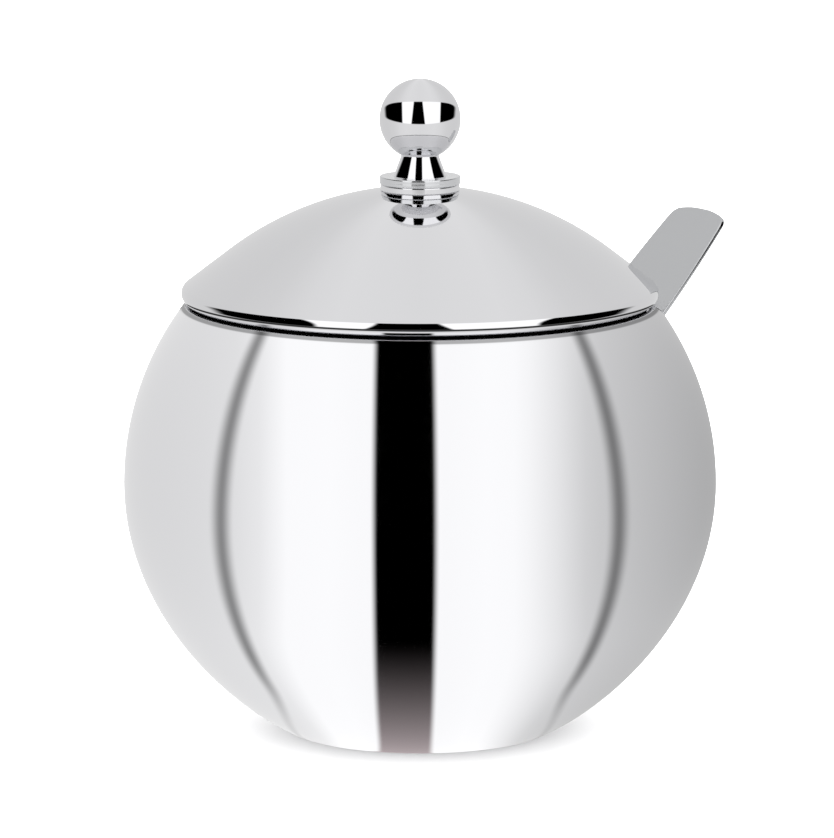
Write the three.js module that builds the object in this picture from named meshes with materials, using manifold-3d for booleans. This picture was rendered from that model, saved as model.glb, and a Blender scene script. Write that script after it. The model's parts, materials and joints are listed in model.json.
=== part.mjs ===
// Ball-shaped stainless steel sugar bowl with a domed lift-off lid, a turned knob and a spoon.
//
// Units are millimetres and +Z is up. The origin is the centre of the flat base, on the surface
// that the bowl stands on. +X runs through the notch in the rim, where the spoon's handle leans.
// The lid and the spoon are shown in place: lid on, spoon tip on the bowl's floor.
import * as THREE from "three";
import { mergeVertices } from "three/addons/utils/BufferGeometryUtils.js";
import Module from "manifold-3d";

const wasm = await Module();
wasm.setup();

// ---------- driving dimensions ----------

// Bowl: a ball above its equator, and a wall that sweeps in to a flat foot below it.
const BOWL_RADIUS = 45;
const EQUATOR_HEIGHT = 37.9;
const MOUTH_RADIUS = 35.7;
const FOOT_RADIUS = 20;
const FOOT_RISE_DEG = 25.5; // slope of the wall where it leaves the foot
const FOOT_SWEEP = 12; // how far the wall keeps that slope
const EQUATOR_SWEEP = 18.6; // how far the wall stays near upright below the equator
const BOWL_WALL = 0.8;

// Notch in the rim for the spoon's handle.
const NOTCH_DEPTH = 5.7;
const NOTCH_SIDE_CLEARANCE = 0.8;
const NOTCH_CORNER_RADIUS = 1;

// Lid: a spherical crown, a straight flank and a lip that curls under to the rim.
const LID_OVERHANG = 0.45; // how far the lid's lip stands out past the bowl's mouth
const LID_SHEET = 0.8;
const LIP_RADIUS = 1.5;
const LIP_END_DEG = -80; // how far the lip curls under
const FLANK_DEG = 37.5;
const CROWN_RADIUS = 48;
const COLLAR_DEPTH = 3.6; // how far the lid's collar reaches into the mouth
const COLLAR_SHEET = 0.8;
const COLLAR_CLEARANCE = 0.4;

// Knob: a stack on one screw, from the lid up: washer, disc, cone, ball.
const DISC_RADIUS = 6.1;
const DISC_THICKNESS = 1.2;
const WASHER_RADIUS = 6;
const WASHER_THICKNESS = 0.6;
const CONE_BASE_RADIUS = 4;
const CONE_TOP_RADIUS = 2.9;
const CONE_HEIGHT = 2.75;
const BALL_RADIUS = 6.15;
const SCREW_RADIUS = 1.5;
const SCREW_HEAD_RADIUS = 2.8;
const SCREW_HEAD_HEIGHT = 1.8;
const SCREW_IN_BALL = 4; // how far the screw reaches into the ball
const INNER_WASHER_RADIUS = 4.5;
const INNER_WASHER_THICKNESS = 0.6;

// Spoon: one pressed strip that leans in the notch, with its tip on the bowl's floor.
const TIP_INSET = 1.5; // from the edge of the foot to the spoon's tip
const HANDLE_THICKNESS = 0.8;
const HANDLE_REACH = 21.4; // length of handle past the notch
const HANDLE_WIDTH = 17; // widest, a little below the notch
const HANDLE_END_WIDTH = 13.6;
const HANDLE_END_CROWN = 0.6; // how far the end bows out
const HANDLE_CORNER = 2.4;
const HANDLE_WIDEST_AT = 20.5; // distance of the widest place from the end
const NECK_WIDTH = 5.6;
const SCOOP_LENGTH = 28;
const SCOOP_WIDTH = 21;
const SCOOP_DEPTH = 4.5;
const SCOOP_SHEET = 0.8;
const SCOOP_TILT_DEG = 3; // the scoop lies flatter than the handle

// Clearances.
const SEAT_GAP = 0.3; // between a loose piece and its seat
const STACK_GAP = 0.2; // between pieces that the screw clamps, and at welded seams
const SCREW_CLEARANCE = 0.3;

// Facets round the big turned pieces and round the small ones.
const LARGE_FACETS = 48;
const SMALL_FACETS = 24;

// ---------- sizes that follow from them ----------

const rad = THREE.MathUtils.degToRad;
const innerBowlRadius = BOWL_RADIUS - BOWL_WALL;
const rimZ = EQUATOR_HEIGHT + Math.sqrt(BOWL_RADIUS ** 2 - MOUTH_RADIUS ** 2);
const mouthInnerRadius = Math.sqrt(innerBowlRadius ** 2 - (rimZ - EQUATOR_HEIGHT) ** 2);

const lipCentreR = MOUTH_RADIUS + LID_OVERHANG - LIP_RADIUS;
const lipCentreZ = rimZ + SEAT_GAP - LIP_RADIUS * Math.sin(rad(LIP_END_DEG));
const flank = rad(FLANK_DEG);
const flankTopR = CROWN_RADIUS * Math.sin(flank);
const flankFootR = lipCentreR + LIP_RADIUS * Math.sin(flank);
const flankFootZ = lipCentreZ + LIP_RADIUS * Math.cos(flank);
const flankTopZ = flankFootZ + (flankFootR - flankTopR) * Math.tan(flank);
const crownCentreZ = flankTopZ - CROWN_RADIUS * Math.cos(flank);

const seatRadius = DISC_RADIUS + 0.2; // a flat pressed in the crown for the knob
const seatZ = crownCentreZ + Math.sqrt(CROWN_RADIUS ** 2 - seatRadius ** 2);
const screwHole = SCREW_RADIUS + SCREW_CLEARANCE;

const washerZ = seatZ + STACK_GAP;
const discZ = washerZ + WASHER_THICKNESS + STACK_GAP;
const coneZ = discZ + DISC_THICKNESS + STACK_GAP;
const ballFlatZ = coneZ + CONE_HEIGHT + STACK_GAP;
const ballCentreZ = ballFlatZ + Math.sqrt(BALL_RADIUS ** 2 - CONE_TOP_RADIUS ** 2);
const innerWasherZ = seatZ - LID_SHEET - STACK_GAP - INNER_WASHER_THICKNESS;
const screwHeadZ = innerWasherZ - STACK_GAP - SCREW_HEAD_HEIGHT;

const notchFloorZ = rimZ - NOTCH_DEPTH;
const notchHalfWidth = HANDLE_WIDTH / 2 + NOTCH_SIDE_CLEARANCE;
// The spoon rests at two places in the plane y = 0. Its tip stands on the floor, and the edges of
// its handle lie on the notch's floor at the inside of the wall. Both together give its lean.
const tipX = TIP_INSET - FOOT_RADIUS;
const tipZ = BOWL_WALL + SEAT_GAP;
const handleSeatX = Math.sqrt(
  innerBowlRadius ** 2 - (notchFloorZ - EQUATOR_HEIGHT) ** 2 - (HANDLE_WIDTH / 2) ** 2,
);
const scoopTilt = rad(SCOOP_TILT_DEG);
const aboveSeat = SEAT_GAP + HANDLE_THICKNESS; // from the seat to the handle's top face
const tipRise = SCOOP_LENGTH * Math.sin(scoopTilt); // from the handle's top face to the tip
const seatToTip = Math.hypot(handleSeatX - tipX, notchFloorZ - tipZ);
const seatAngle = Math.atan2(notchFloorZ - tipZ, handleSeatX - tipX);
const leanPastSeat = Math.asin((aboveSeat + tipRise) / seatToTip);
const lean = seatAngle + leanPastSeat;
const spoonBelowSeat = seatToTip * Math.cos(leanPastSeat);
const handleLength = HANDLE_REACH + spoonBelowSeat - SCOOP_LENGTH * Math.cos(scoopTilt);
const handleEndX = handleSeatX - aboveSeat * Math.sin(lean) + HANDLE_REACH * Math.cos(lean);
const handleEndZ = notchFloorZ + aboveSeat * Math.cos(lean) + HANDLE_REACH * Math.sin(lean);

// ---------- finishes ----------

const steel = (roughness) =>
  new THREE.MeshStandardMaterial({ color: 0xd6d7d9, metalness: 1, roughness });
const mirrorSteel = () => steel(0.06);
const turnedSteel = () => steel(0.25);
const satinSteel = () => steel(0.35);

// ---------- shape helpers ----------

// Points on an arc about (r, z), from one angle to the other, measured up from the +R direction.
function arc(centreR, centreZ, radius, fromDeg, toDeg, steps) {
  return Array.from({ length: steps + 1 }, (_, i) => {
    const angle = rad(fromDeg + ((toDeg - fromDeg) * i) / steps);
    return [centreR + radius * Math.cos(angle), centreZ + radius * Math.sin(angle)];
  });
}

// A solid turned about Z. The profile is a list of [radius, height], counter-clockwise.
function turned(profile, facets) {
  const points = profile.map(([r, z]) => new THREE.Vector2(Math.max(r, 0), z));
  return new THREE.LatheGeometry(points, facets).rotateX(Math.PI / 2);
}

// A ring or disc with a hole, turned about Z.
function ring(inner, outer, lowZ, highZ, facets) {
  const profile = [
    [inner, lowZ],
    [outer, lowZ],
    [outer, highZ],
    [inner, highZ],
    [inner, lowZ],
  ];
  return turned(profile, facets);
}

function solid(geometry) {
  const bare = geometry.clone();
  bare.deleteAttribute("normal");
  bare.deleteAttribute("uv");
  const merged = mergeVertices(bare, 1e-3);
  return new wasm.Manifold(
    new wasm.Mesh({
      numProp: 3,
      vertProperties: merged.attributes.position.array,
      triVerts: new Uint32Array(merged.index.array),
    }),
  );
}

function geometryOf(manifold) {
  const mesh = manifold.getMesh();
  const geometry = new THREE.BufferGeometry();
  geometry.setAttribute("position", new THREE.BufferAttribute(mesh.vertProperties, 3));
  geometry.setIndex(new THREE.BufferAttribute(mesh.triVerts, 1));
  geometry.computeVertexNormals();
  return geometry;
}

function piece(name, geometry, material) {
  const mesh = new THREE.Mesh(geometry, material);
  mesh.name = name;
  return mesh;
}

// ---------- bowl ----------

// The wall below the equator, as [outside point, inside point] pairs from the foot up.
function lowerWall(steps) {
  const rise = rad(FOOT_RISE_DEG);
  const curve = new THREE.CubicBezierCurve(
    new THREE.Vector2(FOOT_RADIUS, 0),
    new THREE.Vector2(FOOT_RADIUS + FOOT_SWEEP * Math.cos(rise), FOOT_SWEEP * Math.sin(rise)),
    new THREE.Vector2(BOWL_RADIUS, EQUATOR_HEIGHT - EQUATOR_SWEEP),
    new THREE.Vector2(BOWL_RADIUS, EQUATOR_HEIGHT),
  );
  return Array.from({ length: steps }, (_, i) => {
    const along = (i + 1) / steps;
    const point = curve.getPoint(along);
    const tangent = curve.getTangent(along);
    const inside = [point.x - BOWL_WALL * tangent.y, point.y + BOWL_WALL * tangent.x];
    return [[point.x, point.y], inside];
  });
}

function bowlBody() {
  const lower = lowerWall(8);
  const arcSteps = 6;
  const outerRimDeg = THREE.MathUtils.radToDeg(Math.asin((rimZ - EQUATOR_HEIGHT) / BOWL_RADIUS));
  const innerRimDeg = THREE.MathUtils.radToDeg(
    Math.asin((rimZ - EQUATOR_HEIGHT) / innerBowlRadius),
  );
  const footMitre = BOWL_WALL * Math.tan(rad(FOOT_RISE_DEG) / 2);
  const profile = [
    [0, 0],
    [FOOT_RADIUS, 0],
    ...lower.map(([outside]) => outside),
    ...arc(0, EQUATOR_HEIGHT, BOWL_RADIUS, 0, outerRimDeg, arcSteps).slice(1),
    ...arc(0, EQUATOR_HEIGHT, innerBowlRadius, innerRimDeg, 0, arcSteps),
    ...lower
      .map(([, inside]) => inside)
      .reverse()
      .slice(1),
    [FOOT_RADIUS - footMitre, BOWL_WALL],
    [0, BOWL_WALL],
  ];
  const shell = solid(turned(profile, LARGE_FACETS));
  const notched = shell.subtract(solid(notchCutter()));
  return piece("bowl_body", geometryOf(notched), mirrorSteel());
}

// A bar along +X with rounded lower corners. What it takes away is the notch.
function notchCutter() {
  const top = NOTCH_DEPTH + 1;
  const corner = NOTCH_CORNER_RADIUS;
  const outline = new THREE.Shape();
  outline.moveTo(-notchHalfWidth, top);
  outline.lineTo(-notchHalfWidth, corner);
  outline.quadraticCurveTo(-notchHalfWidth, 0, corner - notchHalfWidth, 0);
  outline.lineTo(notchHalfWidth - corner, 0);
  outline.quadraticCurveTo(notchHalfWidth, 0, notchHalfWidth, corner);
  outline.lineTo(notchHalfWidth, top);
  const bar = new THREE.ExtrudeGeometry(outline, {
    depth: BOWL_RADIUS,
    bevelEnabled: false,
    curveSegments: 4,
  });
  // The outline's X becomes +Y and the extrusion runs along +X.
  bar.rotateX(Math.PI / 2);
  bar.rotateZ(Math.PI / 2);
  bar.translate(MOUTH_RADIUS / 2, 0, notchFloorZ);
  return bar;
}

// ---------- lid ----------

function lidDome() {
  const crownSteps = 6;
  const lipSteps = 6;
  const seatDeg = 90 - THREE.MathUtils.radToDeg(Math.asin(seatRadius / CROWN_RADIUS));
  const innerCrown = CROWN_RADIUS - LID_SHEET;
  const innerSeatZ = seatZ - LID_SHEET;
  const innerSeatDeg = THREE.MathUtils.radToDeg(
    Math.asin((innerSeatZ - crownCentreZ) / innerCrown),
  );
  const profile = [
    ...arc(lipCentreR, lipCentreZ, LIP_RADIUS, LIP_END_DEG, 90 - FLANK_DEG, lipSteps),
    ...arc(0, crownCentreZ, CROWN_RADIUS, 90 - FLANK_DEG, seatDeg, crownSteps),
    [screwHole, seatZ],
    [screwHole, innerSeatZ],
    ...arc(0, crownCentreZ, innerCrown, innerSeatDeg, 90 - FLANK_DEG, crownSteps),
    ...arc(
      lipCentreR,
      lipCentreZ,
      LIP_RADIUS - LID_SHEET,
      90 - FLANK_DEG,
      LIP_END_DEG,
      lipSteps,
    ),
  ];
  profile.push(profile[0]);
  return piece("lid_dome", turned(profile, LARGE_FACETS), mirrorSteel());
}

// A short tube welded under the lid's flank, which drops into the mouth and keeps the lid centred.
function lidCollar() {
  const outer = mouthInnerRadius - COLLAR_CLEARANCE;
  const inner = outer - COLLAR_SHEET;
  const lipInside = LIP_RADIUS - LID_SHEET;
  const flankInsideR = lipCentreR + lipInside * Math.sin(flank);
  const flankInsideZ = lipCentreZ + lipInside * Math.cos(flank);
  const underFlankZ = flankInsideZ + (flankInsideR - outer) * Math.tan(flank);
  const topZ = underFlankZ - STACK_GAP / Math.cos(flank);
  const shape = ring(inner, outer, rimZ - COLLAR_DEPTH, topZ, LARGE_FACETS);
  return piece("lid_collar", shape, satinSteel());
}

// ---------- knob ----------

function knobWasher() {
  const shape = ring(screwHole, WASHER_RADIUS, washerZ, washerZ + WASHER_THICKNESS, SMALL_FACETS);
  return piece("knob_washer", shape, mirrorSteel());
}

function knobDisc() {
  const shape = ring(screwHole, DISC_RADIUS, discZ, discZ + DISC_THICKNESS, SMALL_FACETS);
  return piece("knob_disc", shape, turnedSteel());
}

function knobCone() {
  const profile = [
    [screwHole, coneZ],
    [CONE_BASE_RADIUS, coneZ],
    [CONE_TOP_RADIUS, coneZ + CONE_HEIGHT],
    [screwHole, coneZ + CONE_HEIGHT],
    [screwHole, coneZ],
  ];
  return piece("knob_cone", turned(profile, SMALL_FACETS), mirrorSteel());
}

function knobBall() {
  const flatDeg = THREE.MathUtils.radToDeg(Math.asin((ballFlatZ - ballCentreZ) / BALL_RADIUS));
  const holeTopZ = ballFlatZ + SCREW_IN_BALL + SCREW_CLEARANCE;
  const profile = [
    [screwHole, ballFlatZ],
    ...arc(0, ballCentreZ, BALL_RADIUS, flatDeg, 90, 12),
    [0, holeTopZ],
    [screwHole, holeTopZ],
    [screwHole, ballFlatZ],
  ];
  return piece("knob_ball", turned(profile, SMALL_FACETS), mirrorSteel());
}

function innerWasher() {
  const topZ = innerWasherZ + INNER_WASHER_THICKNESS;
  const shape = ring(screwHole, INNER_WASHER_RADIUS, innerWasherZ, topZ, SMALL_FACETS);
  return piece("inner_washer", shape, satinSteel());
}

// A pan-head screw with a cross recess, driven up from inside the lid into the ball.
function knobScrew() {
  const topZ = ballFlatZ + SCREW_IN_BALL;
  const headTopZ = screwHeadZ + SCREW_HEAD_HEIGHT;
  const edge = 0.6; // rounding of the head
  const profile = [
    [0, screwHeadZ],
    ...arc(SCREW_HEAD_RADIUS - edge, screwHeadZ + edge, edge, -90, 0, 3),
    [SCREW_HEAD_RADIUS, headTopZ],
    [SCREW_RADIUS, headTopZ],
    [SCREW_RADIUS, topZ],
    [0, topZ],
  ];
  const recessWidth = 0.9;
  const recessLength = SCREW_HEAD_RADIUS * 1.1;
  const recessDepth = 0.9;
  let screw = solid(turned(profile, SMALL_FACETS));
  for (const [x, y] of [
    [recessLength, recessWidth],
    [recessWidth, recessLength],
  ]) {
    const slot = new THREE.BoxGeometry(x, y, 2 * recessDepth).translate(0, 0, screwHeadZ);
    screw = screw.subtract(solid(slot));
  }
  return piece("knob_screw", geometryOf(screw), satinSteel());
}

// ---------- spoon ----------

// The handle seen square on: X is the distance from its end towards the scoop, negative.
function handleOutline() {
  const endHalf = HANDLE_END_WIDTH / 2;
  const wideHalf = HANDLE_WIDTH / 2;
  const neckHalf = NECK_WIDTH / 2;
  const wideX = -HANDLE_WIDEST_AT;
  const neckX = -handleLength - 2; // runs on into the scoop's back edge
  const shape = new THREE.Shape();
  const pull = (neckX - wideX) / 3;
  shape.moveTo(neckX, -neckHalf);
  shape.bezierCurveTo(neckX - pull, -neckHalf, wideX + pull, -wideHalf, wideX, -wideHalf);
  shape.quadraticCurveTo(wideX / 2, -wideHalf, -HANDLE_CORNER, -endHalf);
  shape.quadraticCurveTo(-HANDLE_END_CROWN, -endHalf, -HANDLE_END_CROWN / 2, HANDLE_CORNER - endHalf);
  shape.quadraticCurveTo(HANDLE_END_CROWN / 2, 0, -HANDLE_END_CROWN / 2, endHalf - HANDLE_CORNER);
  shape.quadraticCurveTo(-HANDLE_END_CROWN, endHalf, -HANDLE_CORNER, endHalf);
  shape.quadraticCurveTo(wideX / 2, wideHalf, wideX, wideHalf);
  shape.bezierCurveTo(wideX + pull, wideHalf, neckX - pull, neckHalf, neckX, neckHalf);
  return shape;
}

// The scoop is a dished oval of even thickness, with its back edge at the neck.
function scoop() {
  const half = SCOOP_WIDTH / 2;
  const sphere = (half ** 2 + SCOOP_DEPTH ** 2) / (2 * SCOOP_DEPTH);
  const edgeDeg = -THREE.MathUtils.radToDeg(Math.asin((sphere - SCOOP_DEPTH) / sphere));
  const steps = 6;
  const centreZ = sphere - SCOOP_DEPTH;
  const profile = [
    ...arc(0, centreZ, sphere, -90, edgeDeg, steps),
    ...arc(0, centreZ, sphere - SCOOP_SHEET, edgeDeg, -90, steps),
  ];
  const dish = turned(profile, SMALL_FACETS);
  dish.scale(SCOOP_LENGTH / SCOOP_WIDTH, 1, 1);
  dish.translate(-SCOOP_LENGTH / 2, 0, 0);
  dish.rotateY(scoopTilt);
  dish.translate(-handleLength, 0, 0);
  return dish;
}

function spoon() {
  const handle = new THREE.ExtrudeGeometry(handleOutline(), {
    depth: HANDLE_THICKNESS,
    bevelEnabled: false,
    curveSegments: 8,
  });
  handle.translate(0, 0, -HANDLE_THICKNESS);
  const whole = solid(handle).add(solid(scoop()));
  const mesh = piece("spoon", geometryOf(whole), satinSteel());
  mesh.rotation.y = -lean;
  mesh.position.set(handleEndX, 0, handleEndZ);
  return mesh;
}

// ---------- assembly ----------

const lid = new THREE.Group();
lid.add(lidDome(), lidCollar(), innerWasher(), knobScrew());
lid.add(knobWasher(), knobDisc(), knobCone(), knobBall());

const sugarBowl = new THREE.Group();
sugarBowl.add(bowlBody(), lid, spoon());

export default sugarBowl;
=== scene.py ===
"""Ball-shaped steel sugar bowl: fine surfaces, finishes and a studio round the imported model."""

import json
import math

import bmesh
import bpy
from bpy.props import FloatProperty, FloatVectorProperty, PointerProperty
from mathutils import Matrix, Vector


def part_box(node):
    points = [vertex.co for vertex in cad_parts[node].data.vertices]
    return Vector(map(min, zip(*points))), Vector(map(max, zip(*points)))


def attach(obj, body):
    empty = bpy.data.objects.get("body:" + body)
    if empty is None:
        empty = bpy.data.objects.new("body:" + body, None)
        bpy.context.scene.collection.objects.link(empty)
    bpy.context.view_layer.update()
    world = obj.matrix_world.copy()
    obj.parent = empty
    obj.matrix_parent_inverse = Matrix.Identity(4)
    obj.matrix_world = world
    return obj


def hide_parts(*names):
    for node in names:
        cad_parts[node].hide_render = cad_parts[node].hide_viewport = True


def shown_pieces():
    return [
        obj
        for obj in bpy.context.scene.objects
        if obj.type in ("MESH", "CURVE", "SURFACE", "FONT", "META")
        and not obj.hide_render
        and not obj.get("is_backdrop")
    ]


bl_info = {
    "name": "Sugar Bowl",
    "version": (1, 0, 0),
    "blender": (4, 5, 0),
    "location": "View3D > Sidebar > Sugar Bowl",
    "description": "Builds a steel sugar bowl with its lid, knob and spoon round a packed model",
    "category": "Object",
}

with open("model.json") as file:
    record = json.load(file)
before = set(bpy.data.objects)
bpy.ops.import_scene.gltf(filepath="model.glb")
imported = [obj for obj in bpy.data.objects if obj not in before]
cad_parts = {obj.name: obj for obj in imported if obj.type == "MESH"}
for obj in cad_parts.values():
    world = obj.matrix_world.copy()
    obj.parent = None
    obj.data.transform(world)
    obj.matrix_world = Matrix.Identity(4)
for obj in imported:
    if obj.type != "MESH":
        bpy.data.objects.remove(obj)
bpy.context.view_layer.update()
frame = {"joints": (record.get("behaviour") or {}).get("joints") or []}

MM = 0.001
LARGE_TURN = 256  # facets round the bowl and the lid
SMALL_TURN = 96  # facets round the knob's pieces
SHARP_ANGLE = math.radians(35)  # edges sharper than this stay crisp

# The kinds of node that are used most.
MATH = "ShaderNodeMath"
VECTOR_MATH = "ShaderNodeVectorMath"
RANGE = "ShaderNodeMapRange"

BOWL_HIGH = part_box("bowl_body")[1]
LID_LOW, LID_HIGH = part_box("lid_dome")
COLLAR_LOW, COLLAR_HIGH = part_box("lid_collar")
WASHER_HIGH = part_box("knob_washer")[1]
DISC_LOW, DISC_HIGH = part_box("knob_disc")
CONE_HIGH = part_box("knob_cone")[1]
BALL_LOW, BALL_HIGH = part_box("knob_ball")
INNER_LOW, INNER_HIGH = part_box("inner_washer")
SCREW_LOW, SCREW_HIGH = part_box("knob_screw")
SPOON_LOW, SPOON_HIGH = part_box("spoon")


def linear(hex_colour):
    """An sRGB hex colour as linear red, green and blue."""
    parts = [int(hex_colour[i : i + 2], 16) / 255 for i in (1, 3, 5)]
    return tuple(c / 12.92 if c <= 0.04045 else ((c + 0.055) / 1.055) ** 2.4 for c in parts)


# ---------- sizes and colours that a user would change ----------


def length(name, description, millimetres):
    return FloatProperty(name=name, description=description, default=millimetres * MM, unit="LENGTH")


def angle(name, description, degrees):
    return FloatProperty(
        name=name, description=description, default=math.radians(degrees), subtype="ANGLE"
    )


def colour(name, description, hex_colour):
    return FloatVectorProperty(
        name=name, description=description, default=linear(hex_colour), subtype="COLOR", min=0, max=1
    )


class BowlSizes(bpy.types.PropertyGroup):
    """Sizes of the ball-shaped bowl."""

    wall: length("Wall", "Thickness of the sheet", 0.8)
    equator: length("Equator height", "Height of the widest place", 37.9)
    foot: length("Foot radius", "Radius of the flat foot", 20)
    foot_rise: angle("Foot rise", "Slope of the wall where it leaves the foot", 25.5)
    foot_sweep: length("Foot sweep", "How far the wall keeps that slope", 12)
    equator_sweep: length("Equator sweep", "How far the wall stays near upright", 18.6)
    foot_edge: length("Foot edge", "Rounding between foot and wall", 3)
    rim_edge: length("Rim edge", "Rounding of the rim's two edges", 0.22)
    notch_depth: length("Notch depth", "Depth of the notch for the spoon", 5.7)
    notch_half: length("Notch half width", "Half the width of the notch", 9.3)
    notch_corner: length("Notch corner", "Rounding at the foot of the notch", 1)


class LidSizes(bpy.types.PropertyGroup):
    """Sizes of the domed lid."""

    sheet: length("Sheet", "Thickness of the sheet", 0.8)
    lip: length("Lip radius", "Radius of the rolled edge", 1.5)
    lip_end: angle("Lip end", "How far the lip curls under", -80)
    collar_wall: length("Collar wall", "Thickness of the collar under the lid", 0.8)
    # Height of the band of painted shade on the collar: a black line standing in for the shadow in
    # the gap under the lid.
    gap_shade_depth: length("Painted gap shade", "How far below the rim the collar's corner is dark", 0.6)
    flank: angle("Flank", "Slope of the straight flank", 37.5)
    crown: length("Crown radius", "Radius of the spherical crown", 48)
    seat: length("Seat radius", "Radius of the flat that the knob stands on", 6.3)
    screw_hole: length("Screw hole", "Radius of the hole for the screw", 1.8)


class KnobSizes(bpy.types.PropertyGroup):
    """Sizes of the turned knob."""

    edge: length("Edge", "Rounding of the turned edges", 0.12)
    cone_base: length("Cone base", "Radius of the cone's foot", 4)
    cone_top: length("Cone top", "Radius of the cone under the ball", 2.9)
    head_edge: length("Screw head edge", "Rounding of the screw's head", 0.6)
    screw: length("Screw radius", "Radius of the screw's shank", 1.5)
    recess_width: length("Recess width", "Width of each arm of the cross recess", 0.9)
    recess_depth: length("Recess depth", "Depth of the cross recess", 0.9)


class SpoonSizes(bpy.types.PropertyGroup):
    """Sizes of the spoon."""

    thickness: length("Thickness", "Thickness of the strip", 0.8)
    width: length("Handle width", "Width at the widest place", 17)
    end_width: length("End width", "Width near the end", 13.6)
    end_crown: length("End crown", "How far the end bows out", 0.6)
    corner: length("Corner", "Rounding of the end's two corners", 1.7)
    bevel: length("Bevel", "Rounding of the strip's edges", 0.22)
    widest_at: length("Widest place", "Distance of the widest place from the end", 20.5)
    neck: length("Neck width", "Width where the handle meets the scoop", 5.6)
    scoop_length: length("Scoop length", "Length of the scoop", 28)
    scoop_width: length("Scoop width", "Width of the scoop", 21)
    scoop_depth: length("Scoop depth", "Depth of the scoop", 4.5)
    scoop_tilt: angle("Scoop tilt", "The scoop lies this much flatter than the handle", 3)


class SteelColours(bpy.types.PropertyGroup):
    """Colours of the steel under its different finishes."""

    polished: colour("Mirror polish", "Buffed 18/10 stainless steel", "#E6E6E8")
    turned: colour("Turned", "Steel with fine lathe lines", "#D9DADC")
    satin: colour("Satin", "Steel left satin where it is seldom seen", "#CFD0D3")
    spoon: colour("Spoon", "Pressed and tumbled steel", "#CBCCCE")


class StudioSettings(bpy.types.PropertyGroup):
    """Camera and light."""

    azimuth: angle("Camera azimuth", "Round the bowl from the front, with +X to the right", -31)
    elevation: angle("Camera elevation", "Above the horizon", 10.12)
    distance: length("Camera distance", "From the middle of the bowl", 1000)
    focal: FloatProperty(
        name="Focal length", description="Lens, on a 36 mm sensor", default=282.57, unit="CAMERA"
    )
    floor: colour("Floor", "Pale sweep that the bowl stands on", "#F4F4F4")
    tent_radius: length("Tent radius", "Radius of the light tents", 5000)


# ---------- helpers for shapes ----------


def arc(centre_r, centre_z, radius, start, end, steps):
    """Points on an arc, from one angle to the other, measured up from the outward direction."""
    angles = [start + (end - start) * i / steps for i in range(steps + 1)]
    return [(centre_r + radius * math.cos(a), centre_z + radius * math.sin(a)) for a in angles]


def softened(outline, corners, steps=5):
    """The outline with an arc at each corner that corners names: {index in outline: radius}."""
    result = []
    count = len(outline)
    for i, point in enumerate(outline):
        if i not in corners:
            result.append(point)
            continue
        here = Vector(point)
        before = (Vector(outline[i - 1]) - here).normalized()
        after = (Vector(outline[(i + 1) % count]) - here).normalized()
        half = before.angle(after) / 2
        radius = corners[i]
        centre = here + (before + after).normalized() * (radius / math.sin(half))
        from_centre = here + before * (radius / math.tan(half)) - centre
        to_centre = here + after * (radius / math.tan(half)) - centre
        turn = from_centre.angle_signed(to_centre)
        for k in range(steps + 1):
            a = -turn * k / steps
            x = from_centre.x * math.cos(a) - from_centre.y * math.sin(a)
            y = from_centre.x * math.sin(a) + from_centre.y * math.cos(a)
            result.append((centre.x + x, centre.y + y))
    return result


def shade(bm):
    """Smooth faces, with crisp edges where the surface really turns."""
    for face in bm.faces:
        face.smooth = True
    for edge in bm.edges:
        edge.smooth = not (len(edge.link_faces) == 2 and edge.calc_face_angle(0) > SHARP_ANGLE)


def finished(bm, name):
    """An object from a bmesh, shaded, with its faces turned outward."""
    bmesh.ops.recalc_face_normals(bm, faces=bm.faces)
    shade(bm)
    mesh = bpy.data.meshes.new(name)
    bm.to_mesh(mesh)
    bm.free()
    made = bpy.data.objects.new(name, mesh)
    bpy.context.scene.collection.objects.link(made)
    return made


def turned_bmesh(profile, facets, second_from=None):
    """A closed profile of (radius, height) turned about Z.

    The profile starts and ends on the axis, or is a loop. Its faces from point second_from on get
    the second material."""
    bm = bmesh.new()
    open_profile = profile[0][0] < 1e-9
    rings = []
    for radius, height in profile:
        if radius < 1e-9:
            rings.append([bm.verts.new((0, 0, height))])
            continue
        ring = []
        for k in range(facets):
            a = 2 * math.pi * k / facets
            ring.append(bm.verts.new((radius * math.cos(a), radius * math.sin(a), height)))
        rings.append(ring)
    last = len(rings) - 1 if open_profile else len(rings)
    for i in range(last):
        lower, upper = rings[i], rings[(i + 1) % len(rings)]
        for k in range(facets):
            n = (k + 1) % facets
            corners = [lower[k % len(lower)], lower[n % len(lower)]]
            corners += [upper[n % len(upper)], upper[k % len(upper)]]
            face = bm.faces.new(list(dict.fromkeys(corners)))
            if second_from is not None and i >= second_from:
                face.material_index = 1
    return bm


def turned_ring(name, inner, outer, low, high, edge):
    """A small flat ring whose two outer edges are softened."""
    # The points beside each softened edge keep the flat faces flat when they are shaded.
    beside = 1.6 * edge
    outline = [(inner, low), (outer - beside, low), (outer, low), (outer, low + beside)]
    outline += [(outer, high - beside), (outer, high), (outer - beside, high), (inner, high)]
    outline = softened(outline, {2: edge, 5: edge}, 4)
    return finished(turned_bmesh(outline, SMALL_TURN), name)


def cut_by(target, cutter):
    """The target's mesh with the cutter's solid taken away. The cutter is removed."""
    modifier = target.modifiers.new("cut", "BOOLEAN")
    modifier.operation = "DIFFERENCE"
    modifier.solver = "EXACT"
    modifier.object = cutter
    evaluated = target.evaluated_get(bpy.context.evaluated_depsgraph_get())
    result = bpy.data.meshes.new_from_object(evaluated)
    target.modifiers.clear()
    target.data = result
    bpy.data.objects.remove(cutter)
    bm = bmesh.new()
    bm.from_mesh(result)
    shade(bm)
    bm.to_mesh(result)
    bm.free()


def clad(piece, *materials):
    """Gives a piece its finishes, in the order of its faces' material numbers."""
    for material in materials:
        piece.data.materials.append(material)


def install(piece, body, node):
    """Puts a piece on its body in place of its CAD node."""
    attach(piece, body)
    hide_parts(node)


# ---------- helpers for materials ----------


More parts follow.
